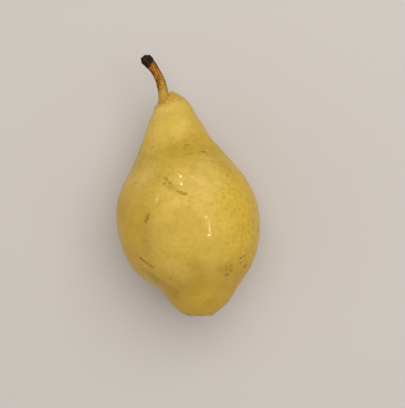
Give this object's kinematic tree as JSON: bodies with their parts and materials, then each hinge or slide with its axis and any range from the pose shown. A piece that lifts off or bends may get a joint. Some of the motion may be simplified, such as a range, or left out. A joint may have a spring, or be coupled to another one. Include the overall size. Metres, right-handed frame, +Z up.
{
  "type": "pear",
  "caption": "Ripe yellow pear lying on its side, with a curved woody stem at the neck and a dried calyx in the eye.",
  "frame": {"origin": "on the surface that the pear rests on, under the middle of its bounding box", "axes": "+Z up, +Y along the pear from the eye to the stem, +X its right side seen from above"},
  "size_m": [0.0698, 0.1318, 0.07],
  "materials": {
    "fruit": "waxy yellow skin with a soft sheen and fine speckles",
    "stem": "dry bark, dark at the cut end",
    "calyx": "dry and crumpled"
  },
  "bodies": {
    "root": {"fruit": "fruit", "stem": "stem", "calyx": "calyx"}
  },
  "joints": []
}
